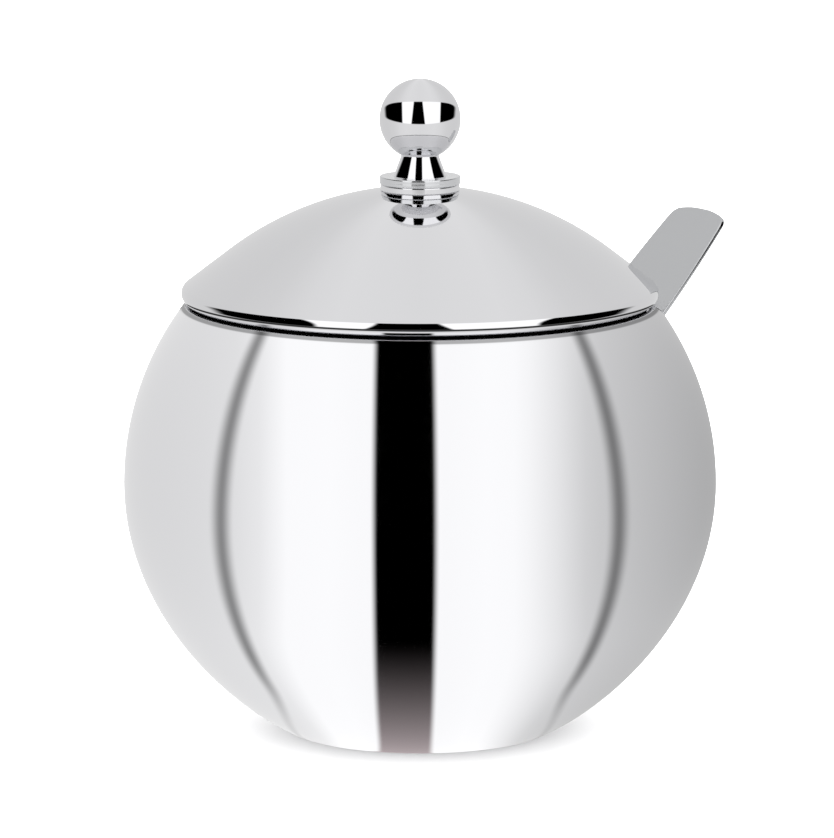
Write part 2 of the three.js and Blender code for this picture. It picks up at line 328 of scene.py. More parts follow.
def add_node(tree, kind, sockets=None, **settings):
    """Adds one node with its settings and links.

    sockets maps an input's name or number to a value, to the output that feeds it, or to a node
    whose first output feeds it."""
    made = tree.nodes.new(kind)
    for key, value in settings.items():
        setattr(made, key, value)
    for key, value in (sockets or {}).items():
        if isinstance(value, bpy.types.Node):
            value = value.outputs[0]
        if isinstance(value, bpy.types.NodeSocket):
            tree.links.new(value, made.inputs[key])
        else:
            made.inputs[key].default_value = value
    return made


def set_ramp(ramp, stops):
    """Gives a colour ramp node these stops, as (position, grey level) pairs."""
    elements = ramp.color_ramp.elements
    while len(elements) > 1:
        elements.remove(elements[-1])
    elements[0].position = stops[0][0]
    elements[0].color = (stops[0][1],) * 3 + (1,)
    for position, level in stops[1:]:
        elements.new(position).color = (level,) * 3 + (1,)
    return ramp


def new_material(name):
    """(material, its node tree, its principled shader)"""
    made = bpy.data.materials.new(name)
    made.use_nodes = True
    return made, made.node_tree, made.node_tree.nodes["Principled BSDF"]


def turned_place(tree):
    """A point on a turned piece as its radius and height, for marks that run round the axis."""
    place = add_node(tree, "ShaderNodeTexCoord").outputs["Object"]
    axes = add_node(tree, "ShaderNodeSeparateXYZ", {"Vector": place}).outputs
    flat = add_node(tree, "ShaderNodeCombineXYZ", {"X": axes["X"], "Y": axes["Y"]})
    radius = add_node(tree, VECTOR_MATH, {0: flat}, operation="LENGTH").outputs["Value"]
    return add_node(tree, "ShaderNodeCombineXYZ", {"X": radius, "Z": axes["Z"]})


def buffed_steel():
    """18/10 stainless steel, buffed to a mirror on a wheel with fine compound.

    The eye sees sharp reflections, a very slight haze that changes in soft patches where fingers
    and cloths have been, and no grain."""
    name = "buffed_stainless_steel"
    if name in bpy.data.materials:
        return bpy.data.materials[name]
    made, tree, shader = new_material(name)
    shader.inputs["Base Color"].default_value = (*bpy.context.scene.steel_colours.polished, 1)
    shader.inputs["Metallic"].default_value = 1
    place = add_node(tree, "ShaderNodeTexCoord").outputs["Object"]
    smudge_size = 14 * MM
    haze = add_node(
        tree, "ShaderNodeTexNoise", {"Vector": place, "Scale": 1 / smudge_size, "Detail": 3}
    )
    sockets = {"Value": haze, "From Min": 0.3, "From Max": 0.7, "To Min": 0.02, "To Max": 0.045}
    roughness = add_node(tree, RANGE, sockets)
    tree.links.new(roughness.outputs["Result"], shader.inputs["Roughness"])
    return made


def spun_steel():
    """Stainless steel left as it was spun and brushed, inside the bowl and under the lid.

    The eye sees a soft satin with fine rings round the axis."""
    name = "spun_satin_stainless_steel"
    if name in bpy.data.materials:
        return bpy.data.materials[name]
    made, tree, shader = new_material(name)
    shader.inputs["Base Color"].default_value = (*bpy.context.scene.steel_colours.satin, 1)
    shader.inputs["Metallic"].default_value = 1
    ring_spacing = 0.25 * MM  # real brush lines are finer, and this is the finest that shows
    sockets = {"Vector": turned_place(tree), "Scale": 1 / ring_spacing, "Detail": 2}
    rings = add_node(tree, "ShaderNodeTexNoise", sockets)
    sockets = {"Value": rings, "From Min": 0.3, "From Max": 0.7, "To Min": 0.24, "To Max": 0.36}
    roughness = add_node(tree, RANGE, sockets)
    sockets = {"Height": rings, "Strength": 0.25, "Distance": 0.01 * MM}
    bump = add_node(tree, "ShaderNodeBump", sockets)
    tree.links.new(roughness.outputs["Result"], shader.inputs["Roughness"])
    tree.links.new(bump.outputs["Normal"], shader.inputs["Normal"])
    return made


def painted_gap_shade_material():
    """Painted shade: a matt black material on the collar just under the lid, standing in for the
    shadow in the gap between lid and bowl.

    The eye sees a matt black line between lid and bowl, with faint speckles that are barely lighter."""
    name = "black_polishing_compound"
    if name in bpy.data.materials:
        return bpy.data.materials[name]
    made, tree, shader = new_material(name)
    place = add_node(tree, "ShaderNodeTexCoord").outputs["Object"]
    shade_speckle_size = 0.6 * MM
    shade_speckle = add_node(
        tree, "ShaderNodeTexNoise", {"Vector": place, "Scale": 1 / shade_speckle_size, "Detail": 2}
    )
    # Near-black painted shade, with noise that gives faint lighter speckles.
    tone = add_node(tree, "ShaderNodeValToRGB", {"Fac": shade_speckle.outputs["Fac"]})
    set_ramp(tone, [(0.4, 0.0006), (0.75, 0.003)])
    tree.links.new(tone.outputs["Color"], shader.inputs["Base Color"])
    shader.inputs["Roughness"].default_value = 1
    shader.inputs["Specular IOR Level"].default_value = 0
    return made


def turned_steel():
    """Stainless steel as it left the lathe, on the knob's disc.

    The eye sees fine bright and dark lines that run round the disc."""
    name = "lathe_turned_stainless_steel"
    if name in bpy.data.materials:
        return bpy.data.materials[name]
    made, tree, shader = new_material(name)
    shader.inputs["Base Color"].default_value = (*bpy.context.scene.steel_colours.turned, 1)
    shader.inputs["Metallic"].default_value = 1
    feed = 0.16 * MM  # distance between the tool's lines
    sockets = {"Vector": turned_place(tree), "Scale": 1 / feed, "Detail": 1}
    lines = add_node(tree, "ShaderNodeTexNoise", sockets)
    sockets = {"Value": lines, "From Min": 0.3, "From Max": 0.7, "To Min": 0.05, "To Max": 0.14}
    roughness = add_node(tree, RANGE, sockets)
    sockets = {"Height": lines, "Strength": 0.35, "Distance": 0.02 * MM}
    bump = add_node(tree, "ShaderNodeBump", sockets)
    tree.links.new(roughness.outputs["Result"], shader.inputs["Roughness"])
    tree.links.new(bump.outputs["Normal"], shader.inputs["Normal"])
    return made


def tumbled_steel():
    """Stainless steel pressed from strip and tumbled bright, on the spoon.

    The eye sees a bright face with a soft, slightly patchy haze."""
    name = "tumbled_stainless_steel"
    if name in bpy.data.materials:
        return bpy.data.materials[name]
    made, tree, shader = new_material(name)
    shader.inputs["Base Color"].default_value = (*bpy.context.scene.steel_colours.spoon, 1)
    shader.inputs["Metallic"].default_value = 1
    place = add_node(tree, "ShaderNodeTexCoord").outputs["Object"]
    patch = 6 * MM
    haze = add_node(tree, "ShaderNodeTexNoise", {"Vector": place, "Scale": 1 / patch, "Detail": 4})
    sockets = {"Value": haze, "From Min": 0.3, "From Max": 0.7, "To Min": 0.14, "To Max": 0.24}
    roughness = add_node(tree, RANGE, sockets)
    tree.links.new(roughness.outputs["Result"], shader.inputs["Roughness"])
    return made


# ---------- the pieces ----------


def bowl_profile(sizes):
    """The bowl's section, from the axis at the foot up the outside, over the rim and back inside."""
    radius = BOWL_HIGH.y
    rim = BOWL_HIGH.z
    inner_radius = radius - sizes.wall
    rise = Vector((math.cos(sizes.foot_rise), math.sin(sizes.foot_rise)))
    p0 = Vector((sizes.foot, 0))
    p1 = p0 + rise * sizes.foot_sweep
    p3 = Vector((radius, sizes.equator))
    p2 = p3 - Vector((0, sizes.equator_sweep))
    steps = 48
    outside, inside = [], []
    for i in range(1, steps + 1):
        t = i / steps
        s = 1 - t
        point = s**3 * p0 + 3 * s * s * t * p1 + 3 * s * t * t * p2 + t**3 * p3
        along = (s * s * (p1 - p0) + 2 * s * t * (p2 - p1) + t * t * (p3 - p2)).normalized()
        outside.append(tuple(point))
        inside.append((point.x - sizes.wall * along.y, point.y + sizes.wall * along.x))
    rim_angle = math.asin((rim - sizes.equator) / radius)
    inner_rim_angle = math.asin((rim - sizes.equator) / inner_radius)
    upper = arc(0, sizes.equator, radius, 0, rim_angle, 40)[1:]
    upper_inside = arc(0, sizes.equator, inner_radius, inner_rim_angle, 0, 30)
    mitre = sizes.wall * math.tan(sizes.foot_rise / 2)
    outline = [(0, 0), (sizes.foot, 0)] + outside + upper
    rim_at = len(outline) - 1
    outline += upper_inside + inside[-2::-1] + [(sizes.foot - mitre, sizes.wall), (0, sizes.wall)]
    edge = sizes.rim_edge
    soft = softened(outline, {1: sizes.foot_edge, rim_at: edge, rim_at + 1: edge}, 6)
    # Each of the two softened corners before the inside adds six points.
    return soft, rim_at + 12


def notch_cutter(sizes):
    """A bar along +X, as wide as the notch, with rounded lower corners."""
    floor = BOWL_HIGH.z - sizes.notch_depth
    top = BOWL_HIGH.z + 2 * MM
    half = sizes.notch_half
    outline = [(-half, top), (-half, floor), (half, floor), (half, top)]
    outline = softened(outline, {1: sizes.notch_corner, 2: sizes.notch_corner}, 8)
    bm = bmesh.new()
    near = [bm.verts.new((BOWL_HIGH.y / 2, y, z)) for y, z in outline]
    far = [bm.verts.new((BOWL_HIGH.y + 1 * MM, y, z)) for y, z in outline]
    bm.faces.new(near)
    bm.faces.new(far[::-1])
    for i in range(len(outline)):
        n = (i + 1) % len(outline)
        bm.faces.new([near[i], far[i], far[n], near[n]])
    return finished(bm, "notch_cutter")


def lid_profile(sizes):
    """The lid's section as a loop: lip, flank and crown outside, then back on the inside."""
    lip_r = LID_HIGH.y - sizes.lip
    lip_z = LID_LOW.z - sizes.lip * math.sin(sizes.lip_end)
    flank_top_r = sizes.crown * math.sin(sizes.flank)
    flank_foot_r = lip_r + sizes.lip * math.sin(sizes.flank)
    flank_foot_z = lip_z + sizes.lip * math.cos(sizes.flank)
    flank_top_z = flank_foot_z + (flank_foot_r - flank_top_r) * math.tan(sizes.flank)
    crown_z = flank_top_z - sizes.crown * math.cos(sizes.flank)
    seat_angle = math.acos(sizes.seat / sizes.crown)
    inner_crown = sizes.crown - sizes.sheet
    under_seat = LID_HIGH.z - sizes.sheet
    inner_seat_angle = math.asin((under_seat - crown_z) / inner_crown)
    upright = math.pi / 2 - sizes.flank
    outline = arc(lip_r, lip_z, sizes.lip, sizes.lip_end, upright, 40)
    outline += [
        (
            flank_foot_r + (flank_top_r - flank_foot_r) * i / 12,
            flank_foot_z + (flank_top_z - flank_foot_z) * i / 12,
        )
        for i in range(1, 12)
    ]
    outline += arc(0, crown_z, sizes.crown, upright, seat_angle, 48)
    outline += [(sizes.screw_hole, LID_HIGH.z)]
    inside_from = len(outline) - 1
    outline += [(sizes.screw_hole, under_seat)]
    outline += arc(0, crown_z, inner_crown, inner_seat_angle, upright, 40)
    outline += arc(lip_r, lip_z, sizes.lip - sizes.sheet, upright, sizes.lip_end, 16)
    last = len(outline) - 1
    return softened(outline, {last: 0.2 * MM}, 3), inside_from


class SUGARBOWL_OT_bowl(bpy.types.Operator):
    """Make the ball-shaped bowl with its notched rim"""

    bl_idname = "sugarbowl.bowl"
    bl_label = "Bowl"

    def execute(self, context):
        sizes = context.scene.bowl_sizes
        profile, inside_from = bowl_profile(sizes)
        shell = finished(turned_bmesh(profile, LARGE_TURN, inside_from), "bowl_shell")
        clad(shell, buffed_steel(), spun_steel())
        cut_by(shell, notch_cutter(sizes))
        install(shell, "bowl", "bowl_body")
        return {"FINISHED"}


class SUGARBOWL_OT_lid(bpy.types.Operator):
    """Make the domed lid and the collar welded under it"""

    bl_idname = "sugarbowl.lid"
    bl_label = "Lid"

    def execute(self, context):
        sizes = context.scene.lid_sizes
        profile, inside_from = lid_profile(sizes)
        dome = finished(turned_bmesh(profile, LARGE_TURN, inside_from), "lid_shell")
        clad(dome, buffed_steel(), spun_steel())
        install(dome, "lid", "lid_dome")
        outer = COLLAR_HIGH.y
        inner = outer - sizes.collar_wall
        corner_from = BOWL_HIGH.z - sizes.gap_shade_depth
        # It starts at the corner's lower end, so that only the first face, which carries the painted
        # gap shade, is dark.
        section = [(outer, corner_from), (outer, COLLAR_HIGH.z), (inner, COLLAR_HIGH.z)]
        section += [(inner, COLLAR_LOW.z), (outer, COLLAR_LOW.z)]
        section = softened(section, {3: 0.2 * MM, 4: 0.25 * MM}, 4)
        collar = finished(turned_bmesh(section, LARGE_TURN, 1), "lid_locating_collar")
        # The collar's first face gets the painted gap shade, a matt black standing in for the shadow
        # under the lid. The rest is satin steel.
        clad(collar, painted_gap_shade_material(), spun_steel())
        install(collar, "lid", "lid_collar")
        return {"FINISHED"}


class SUGARBOWL_OT_knob(bpy.types.Operator):
    """Make the knob: washer, turned disc, cone and ball"""

    bl_idname = "sugarbowl.knob"
    bl_label = "Knob"

    def execute(self, context):
        sizes = context.scene.knob_sizes
        hole = context.scene.lid_sizes.screw_hole
        edge = sizes.edge
        washer = turned_ring("knob_ring", hole, WASHER_HIGH.y, LID_HIGH.z, DISC_LOW.z, edge)
        clad(washer, buffed_steel())
        install(washer, "lid", "knob_washer")
        disc = turned_ring("knob_flange", hole, DISC_HIGH.y, DISC_LOW.z, DISC_HIGH.z, edge)
        clad(disc, turned_steel())
        install(disc, "lid", "knob_disc")
        cone_outline = [
            (hole, DISC_HIGH.z),
            (sizes.cone_base, DISC_HIGH.z),
            (sizes.cone_top, CONE_HIGH.z),
            (sizes.cone_top, BALL_LOW.z + 0.1 * MM),
            (hole, BALL_LOW.z + 0.1 * MM),
        ]
        cone = finished(turned_bmesh(cone_outline, SMALL_TURN), "knob_neck")
        clad(cone, buffed_steel())
        install(cone, "lid", "knob_cone")
        radius = BALL_HIGH.y
        centre = BALL_HIGH.z - radius
        start = math.asin((BALL_LOW.z - centre) / radius)
        shank_top = SCREW_HIGH.z + 0.3 * MM
        ball_outline = arc(0, centre, radius, start, math.pi / 2, 64)
        ball_outline[-1] = (0, BALL_HIGH.z)
        ball_outline += [(0, shank_top), (hole, shank_top), (hole, BALL_LOW.z)]
        ball = finished(turned_bmesh(axis_loop(ball_outline), SMALL_TURN), "knob_sphere")
        clad(ball, buffed_steel())
        install(ball, "lid", "knob_ball")
        return {"FINISHED"}


def axis_loop(outline):
    """The outline turned round so that it starts and ends on the axis."""
    on_axis = [i for i, (radius, _) in enumerate(outline) if radius < 1e-9]
    start = on_axis[-1]
    return outline[start:] + outline[:start]


class SUGARBOWL_OT_fixings(bpy.types.Operator):
    """Make the screw and the washer that hold the knob from inside the lid"""

    bl_idname = "sugarbowl.fixings"
    bl_label = "Screw and washer"

    def execute(self, context):
        sizes = context.scene.knob_sizes
        hole = context.scene.lid_sizes.screw_hole
        under_lid = LID_HIGH.z - context.scene.lid_sizes.sheet
        edge = 0.1 * MM
        washer = turned_ring("screw_washer", hole, INNER_HIGH.y, INNER_LOW.z, under_lid, edge)
        clad(washer, spun_steel())
        install(washer, "lid", "inner_washer")
        head_radius = SCREW_HIGH.y
        outline = [
            (0, SCREW_LOW.z),
            (head_radius, SCREW_LOW.z),
            (head_radius, INNER_LOW.z),
            (sizes.screw, INNER_LOW.z),
            (sizes.screw, SCREW_HIGH.z),
            (0, SCREW_HIGH.z),
        ]
        outline = softened(outline, {1: sizes.head_edge, 4: 0.3 * MM}, 6)
        screw = finished(turned_bmesh(outline, SMALL_TURN), "pan_head_screw")
        for turn in (0, math.pi / 2):
            cut_by(screw, recess_arm(sizes, head_radius, turn))
        clad(screw, spun_steel())
        install(screw, "lid", "knob_screw")
        return {"FINISHED"}


def recess_arm(sizes, head_radius, turn):
    """One arm of the cross recess: a bar whose ends slope in like a driver's tip."""
    bm = bmesh.new()
    half_width = sizes.recess_width / 2
    mouth = head_radius * 0.55
    tip = head_radius * 0.3
    low, high = SCREW_LOW.z - 0.5 * MM, SCREW_LOW.z + sizes.recess_depth
    rows = []
    for z, reach in ((low, mouth), (SCREW_LOW.z, mouth), (high, tip)):
        row = []
        for side_x, side_y in ((-1, -1), (1, -1), (1, 1), (-1, 1)):
            x, y = side_x * reach, side_y * half_width
            c, s = math.cos(turn), math.sin(turn)
            row.append(bm.verts.new((x * c - y * s, x * s + y * c, z)))
        rows.append(row)
    bm.faces.new(rows[0][::-1])
    bm.faces.new(rows[-1])
    for lower, upper in zip(rows, rows[1:]):
        for k in range(4):
            n = (k + 1) % 4
            bm.faces.new([lower[k], lower[n], upper[n], upper[k]])
    return finished(bm, "recess_arm")


def smooth_step(low, high, value):
    """0 up to low and 1 from high on, with a soft climb between them."""
    t = min(max((value - low) / (high - low), 0), 1)
    return t * t * (3 - 2 * t)


class SpoonShape:
    """The spoon in its own frame: x back from the handle's end, y across, z out of its top face."""

    def __init__(self, sizes):
        self.sizes = sizes
        axis = next(j["axis"] for j in frame["joints"] if j["name"] == "spoon_draw")
        self.along = Vector(axis).normalized()
        self.up = Vector((-self.along.z, 0, self.along.x))
        end_x = SPOON_HIGH.x - sizes.thickness * self.along.z
        self.end = Vector((end_x, 0, SPOON_HIGH.z))
        tip = Vector((SPOON_LOW.x, 0, SPOON_LOW.z))
        self.length = (self.end - tip).dot(self.along)
        self.handle = self.length - sizes.scoop_length * math.cos(sizes.scoop_tilt)

    def half_width(self, back):
        """Half the width at a distance back from the end."""
        s = self.sizes
        end_half, wide_half, neck_half = s.end_width / 2, s.width / 2, s.neck / 2
        if back < s.widest_at:
            half = wide_half - (wide_half - end_half) * (1 - back / s.widest_at) ** 2
        else:
            narrowed = smooth_step(s.widest_at, self.handle, back)
            half = wide_half + (neck_half - wide_half) * narrowed
        turn = math.atan(2 * s.end_crown / end_half)
        corner_back = s.end_crown + s.corner * math.cos(turn)
        if back < corner_back:
            start = half - s.corner + s.corner * math.sin(turn)
            if back < s.end_crown:
                half = start * math.sqrt(back / s.end_crown)
            else:
                half += math.sqrt(s.corner**2 - (corner_back - back) ** 2) - s.corner
        middle = self.handle + s.scoop_length / 2
        u = (back - middle) / (self.length - middle)
        oval = s.scoop_width / 2 * math.sqrt(max(1 - u * u, 0))
        if back > self.handle:
            half *= 1 - smooth_step(self.handle, middle, back)
        return (half**5 + oval**5) ** (1 / 5)

    def dish(self, back, across):
        """How far the top face lies under the plane of the handle."""
        s = self.sizes
        middle = self.handle + s.scoop_length / 2
        u = (back - middle) / (s.scoop_length / 2)
        v = across / (s.scoop_width / 2)
        inside = 1 - u * u - v * v
        # A little rounding where the dish meets its edge, and none of it past the edge.
        rounding = 0.1
        deepest = (1 + math.sqrt(1 + rounding**2)) / 2
        depth = s.scoop_depth * (inside + math.sqrt(inside**2 + rounding**2)) / 2 / deepest
        at_edge = s.scoop_depth * rounding / 2
        tilt = max(back - self.handle, 0) * math.sin(s.scoop_tilt)
        return max(depth - at_edge * math.exp(-20 * inside**2), 0) - tilt

    def section(self, back):
        """A closed loop of points round the strip at a distance back from the end."""
        s = self.sizes
        half = self.half_width(back)
        thick = s.thickness
        bevel = min(s.bevel, half * 0.9)
        ease_in = min(min(back, self.length - back) / s.bevel, 1)
        half_thick = thick / 2 - s.bevel * (1 - math.sqrt(1 - (1 - ease_in) ** 2))
        flat = half - bevel
        loop = []
        across_steps, bevel_steps = 28, 5
        for k in range(across_steps):
            loop.append((-flat + 2 * flat * k / across_steps, half_thick))
        for corner in range(4):
            sign_y = 1 if corner in (0, 1) else -1
            sign_z = 1 if corner in (0, 3) else -1
            start_angle = math.pi / 2 - corner * math.pi / 2
            for k in range(bevel_steps + 1):
                a = start_angle - math.pi / 2 * k / bevel_steps
                y = sign_y * flat + bevel * math.cos(a)
                loop.append((y, sign_z * (half_thick - s.bevel) + s.bevel * math.sin(a)))
            if corner == 1:
                for k in range(1, across_steps):
                    loop.append((flat - 2 * flat * k / across_steps, -half_thick))
        loop = loop[:-1]
        points = []
        for y, z in loop:
            height = z - thick / 2 - self.dish(back, y)
            points.append(self.end - self.along * back + Vector((0, y, 0)) + self.up * height)
        return points

    def stations(self):
        """Distances back from the end, closer together at the two ends."""
        fine = [0.02, 0.06, 0.12, 0.2, 0.3, 0.42, 0.56, 0.75, 1.0, 1.3, 1.7, 2.2, 2.8, 3.4]
        first = [f * MM for f in fine]
        count = 90
        middle_from, middle_to = 4.2 * MM, self.length - 4.2 * MM
        middle = [middle_from + (middle_to - middle_from) * i / count for i in range(count + 1)]
        last = [self.length - f * MM for f in reversed(fine)]
        return first + middle + last


class SUGARBOWL_OT_spoon(bpy.types.Operator):
    """Make the spoon that leans in the notch"""

    bl_idname = "sugarbowl.spoon"
    bl_label = "Spoon"

    def execute(self, context):
        shape = SpoonShape(context.scene.spoon_sizes)
        bm = bmesh.new()
        rows = [[bm.verts.new(p) for p in shape.section(back)] for back in shape.stations()]
        bm.faces.new(rows[0])
        bm.faces.new(rows[-1][::-1])
        for near, far in zip(rows, rows[1:]):
            for k in range(len(near)):
                n = (k + 1) % len(near)
                bm.faces.new([near[k], far[k], far[n], near[n]])
        spoon = finished(bm, "sugar_spoon")
        clad(spoon, tumbled_steel())
        install(spoon, "spoon", "spoon")
        return {"FINISHED"}


# ---------- the studio ----------

FLOOR_LIGHT = 2.8  # what the white surroundings give the floor, where 1 is white to the eye
TENT_STRENGTH = 1.28
AIM_ABOVE, AIM_LEFT = 7.46 * MM, 0.46 * MM  # the view's centre, seen from the bowl's middle

# A place of a tent is told by the way that a mirror faces when the camera sees the place in it. Side
# is how far the mirror faces right (-1 to 1), rise how far up the picture, height how far up in the
# room, and turn how far round it faces from the front.
SQUEEZE_BELOW = -0.43  # height under which the panels' tones draw together
SEAM_TURN, SEAM_HALF = 0.66, 0.046  # where the grey seams run, and half their width
STRIP_SIDE, STRIP_HALF, STRIP_EDGE = -0.05, 0.09, 0.027  # the black strip and its soft edge
WARM_GREY = (1.09, 0.94, 0.955)  # the strip's tint at the foot
BAND_REACH = 0.845  # side at which the band of boards ends

# Brightness of the bowl's two panels, from the left edge (0) to the right edge (1).
PANEL_TONES = [
    (0, 0.64),
    (0.085, 0.67),
    (0.135, 0.69),
    (0.195, 0.725),
    (0.235, 0.79),
    (0.255, 0.86),
    (0.28, 0.945),
    (0.35, 0.955),
    (0.4, 0.94),
    (0.545, 0.935),
    (0.61, 0.955),
    (0.655, 0.945),
    (0.68, 0.9),
    (0.7025, 0.84),
    (0.7265, 0.77),
    (0.75, 0.69),
    (0.7735, 0.615),
    (0.7975, 0.575),
    (0.868, 0.505),
    (0.94, 0.435),
    (1, 0.37),
]

# Brightness of the pale cloth round the lid and the knob, from straight ahead (0) to the side (1).
PALE_TONES = [(0, 0.675), (0.35, 0.695), (0.5, 0.67), (0.65, 0.615), (0.8, 0.59), (1, 0.585)]


def toward_camera(studio):
    """Unit vectors toward the camera and to its right, level with the floor."""
    a, e = studio.azimuth, studio.elevation
    toward = Vector((math.sin(a) * math.cos(e), -math.cos(a) * math.cos(e), math.sin(e)))
    right = Vector((math.cos(a), math.sin(a), 0))
    return toward, right


def tent(name, radius):
    """A large closed ball of cloth round the studio, seen only in reflections."""
    bm = bmesh.new()
    bmesh.ops.create_icosphere(bm, subdivisions=4, radius=radius)
    made = finished(bm, name)
    for unseen in ("camera", "diffuse", "transmission", "volume_scatter", "shadow"):
        setattr(made, "visible_" + unseen, False)
    made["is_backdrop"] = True
    return made


def tent_material(name):
    """(material, its tree, the emission node). The cloth glows inwards and lets the rest through."""
    made = bpy.data.materials.new(name)
    made.use_nodes = True
    made.cycles.emission_sampling = "NONE"
    tree = made.node_tree
    tree.nodes.clear()
    glow = add_node(tree, "ShaderNodeEmission")
    clear = add_node(tree, "ShaderNodeBsdfTransparent")
    both = add_node(
        tree, "ShaderNodeAddShader", {0: glow.outputs["Emission"], 1: clear.outputs["BSDF"]}
    )
    add_node(tree, "ShaderNodeOutputMaterial", {"Surface": both.outputs["Shader"]})
    return made, tree, glow


def shine_only_on(tent_object, name, lit):
    """The tent is seen only in the pieces named."""
    receivers = bpy.data.collections.new(name)
    for piece in lit:
        receivers.objects.link(piece)
    tent_object.light_linking.receiver_collection = receivers


def mirror_slope(tree, studio):
    """Which way a mirror faces where the camera sees each place of the tent in it.

    Gives how far it faces right, up the picture and up in the room, and right of upright."""
    toward, right = toward_camera(studio)
    place = add_node(tree, "ShaderNodeNewGeometry").outputs["Position"]
    out = add_node(tree, VECTOR_MATH, {0: place}, operation="NORMALIZE")
    between = add_node(tree, VECTOR_MATH, {0: out, 1: toward}, operation="ADD")
    half = add_node(tree, VECTOR_MATH, {0: between}, operation="NORMALIZE")
    parts = []
    for axis in (right, right.cross(-toward), Vector((0, 0, 1))):
        made = add_node(tree, VECTOR_MATH, {0: half, 1: axis}, operation="DOT_PRODUCT")
        parts.append(made.outputs["Value"])
    side, rise, height = parts
    height_squared = add_node(tree, MATH, {0: height, 1: height}, operation="MULTIPLY")
    level_squared = add_node(tree, MATH, {0: 1, 1: height_squared}, operation="SUBTRACT")
    level_squared = add_node(tree, MATH, {0: level_squared, 1: 0.0001}, operation="MAXIMUM")
    level = add_node(tree, MATH, {0: level_squared}, operation="SQRT")
    turn = add_node(tree, MATH, {0: side, 1: level}, operation="DIVIDE")
    return side, rise, height, turn


class SUGARBOWL_OT_studio(bpy.types.Operator):
    """Make the floor, the light tents and the camera"""

    bl_idname = "sugarbowl.studio"
    bl_label = "Studio"

    def execute(self, context):
        scene = context.scene
        studio = scene.studio_settings
        scene.view_settings.view_transform = "Standard"
        make_floor(studio)
        make_world(scene)
        lid = bpy.data.objects["lid_shell"]
        bowl = bpy.data.objects["bowl_shell"]
        small = [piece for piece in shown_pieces() if piece not in (lid, bowl)]
        make_bowl_tent(studio, [bowl])
        make_board_tent(studio, "lid_tent", True, [lid])
        make_board_tent(studio, "knob_tent", False, small)
        make_camera(scene, studio)
        return {"FINISHED"}


def make_floor(studio):
    """A wide sheet of matt white paper."""
    bm = bmesh.new()
    size = 3
    corners = [(-size, -size, 0), (size, -size, 0), (size, size, 0), (-size, size, 0)]
    bm.faces.new([bm.verts.new(c) for c in corners])
    floor = finished(bm, "floor")
    floor.visible_glossy = False
    made, _, shader = new_material("matt_white_paper")
    shader.inputs["Base Color"].default_value = (*studio.floor, 1)
    shader.inputs["Roughness"].default_value = 1
    shader.inputs["Specular IOR Level"].default_value = 0
    floor.data.materials.append(made)
    floor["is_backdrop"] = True


def make_world(scene):
    """Even white light for the eye and the floor. Mirrors see the tents in its place."""
    world = bpy.data.worlds.new("white_studio")
    scene.world = world
    world.use_nodes = True
    tree = world.node_tree
    background = tree.nodes["Background"]
    background.inputs["Color"].default_value = (1, 1, 1, 1)
    path = add_node(tree, "ShaderNodeLightPath").outputs
    sockets = {0: path["Is Diffuse Ray"], 1: FLOOR_LIGHT, 2: path["Is Camera Ray"]}
    strength = add_node(tree, MATH, sockets, operation="MULTIPLY_ADD")
    tree.links.new(strength.outputs["Value"], background.inputs["Strength"])


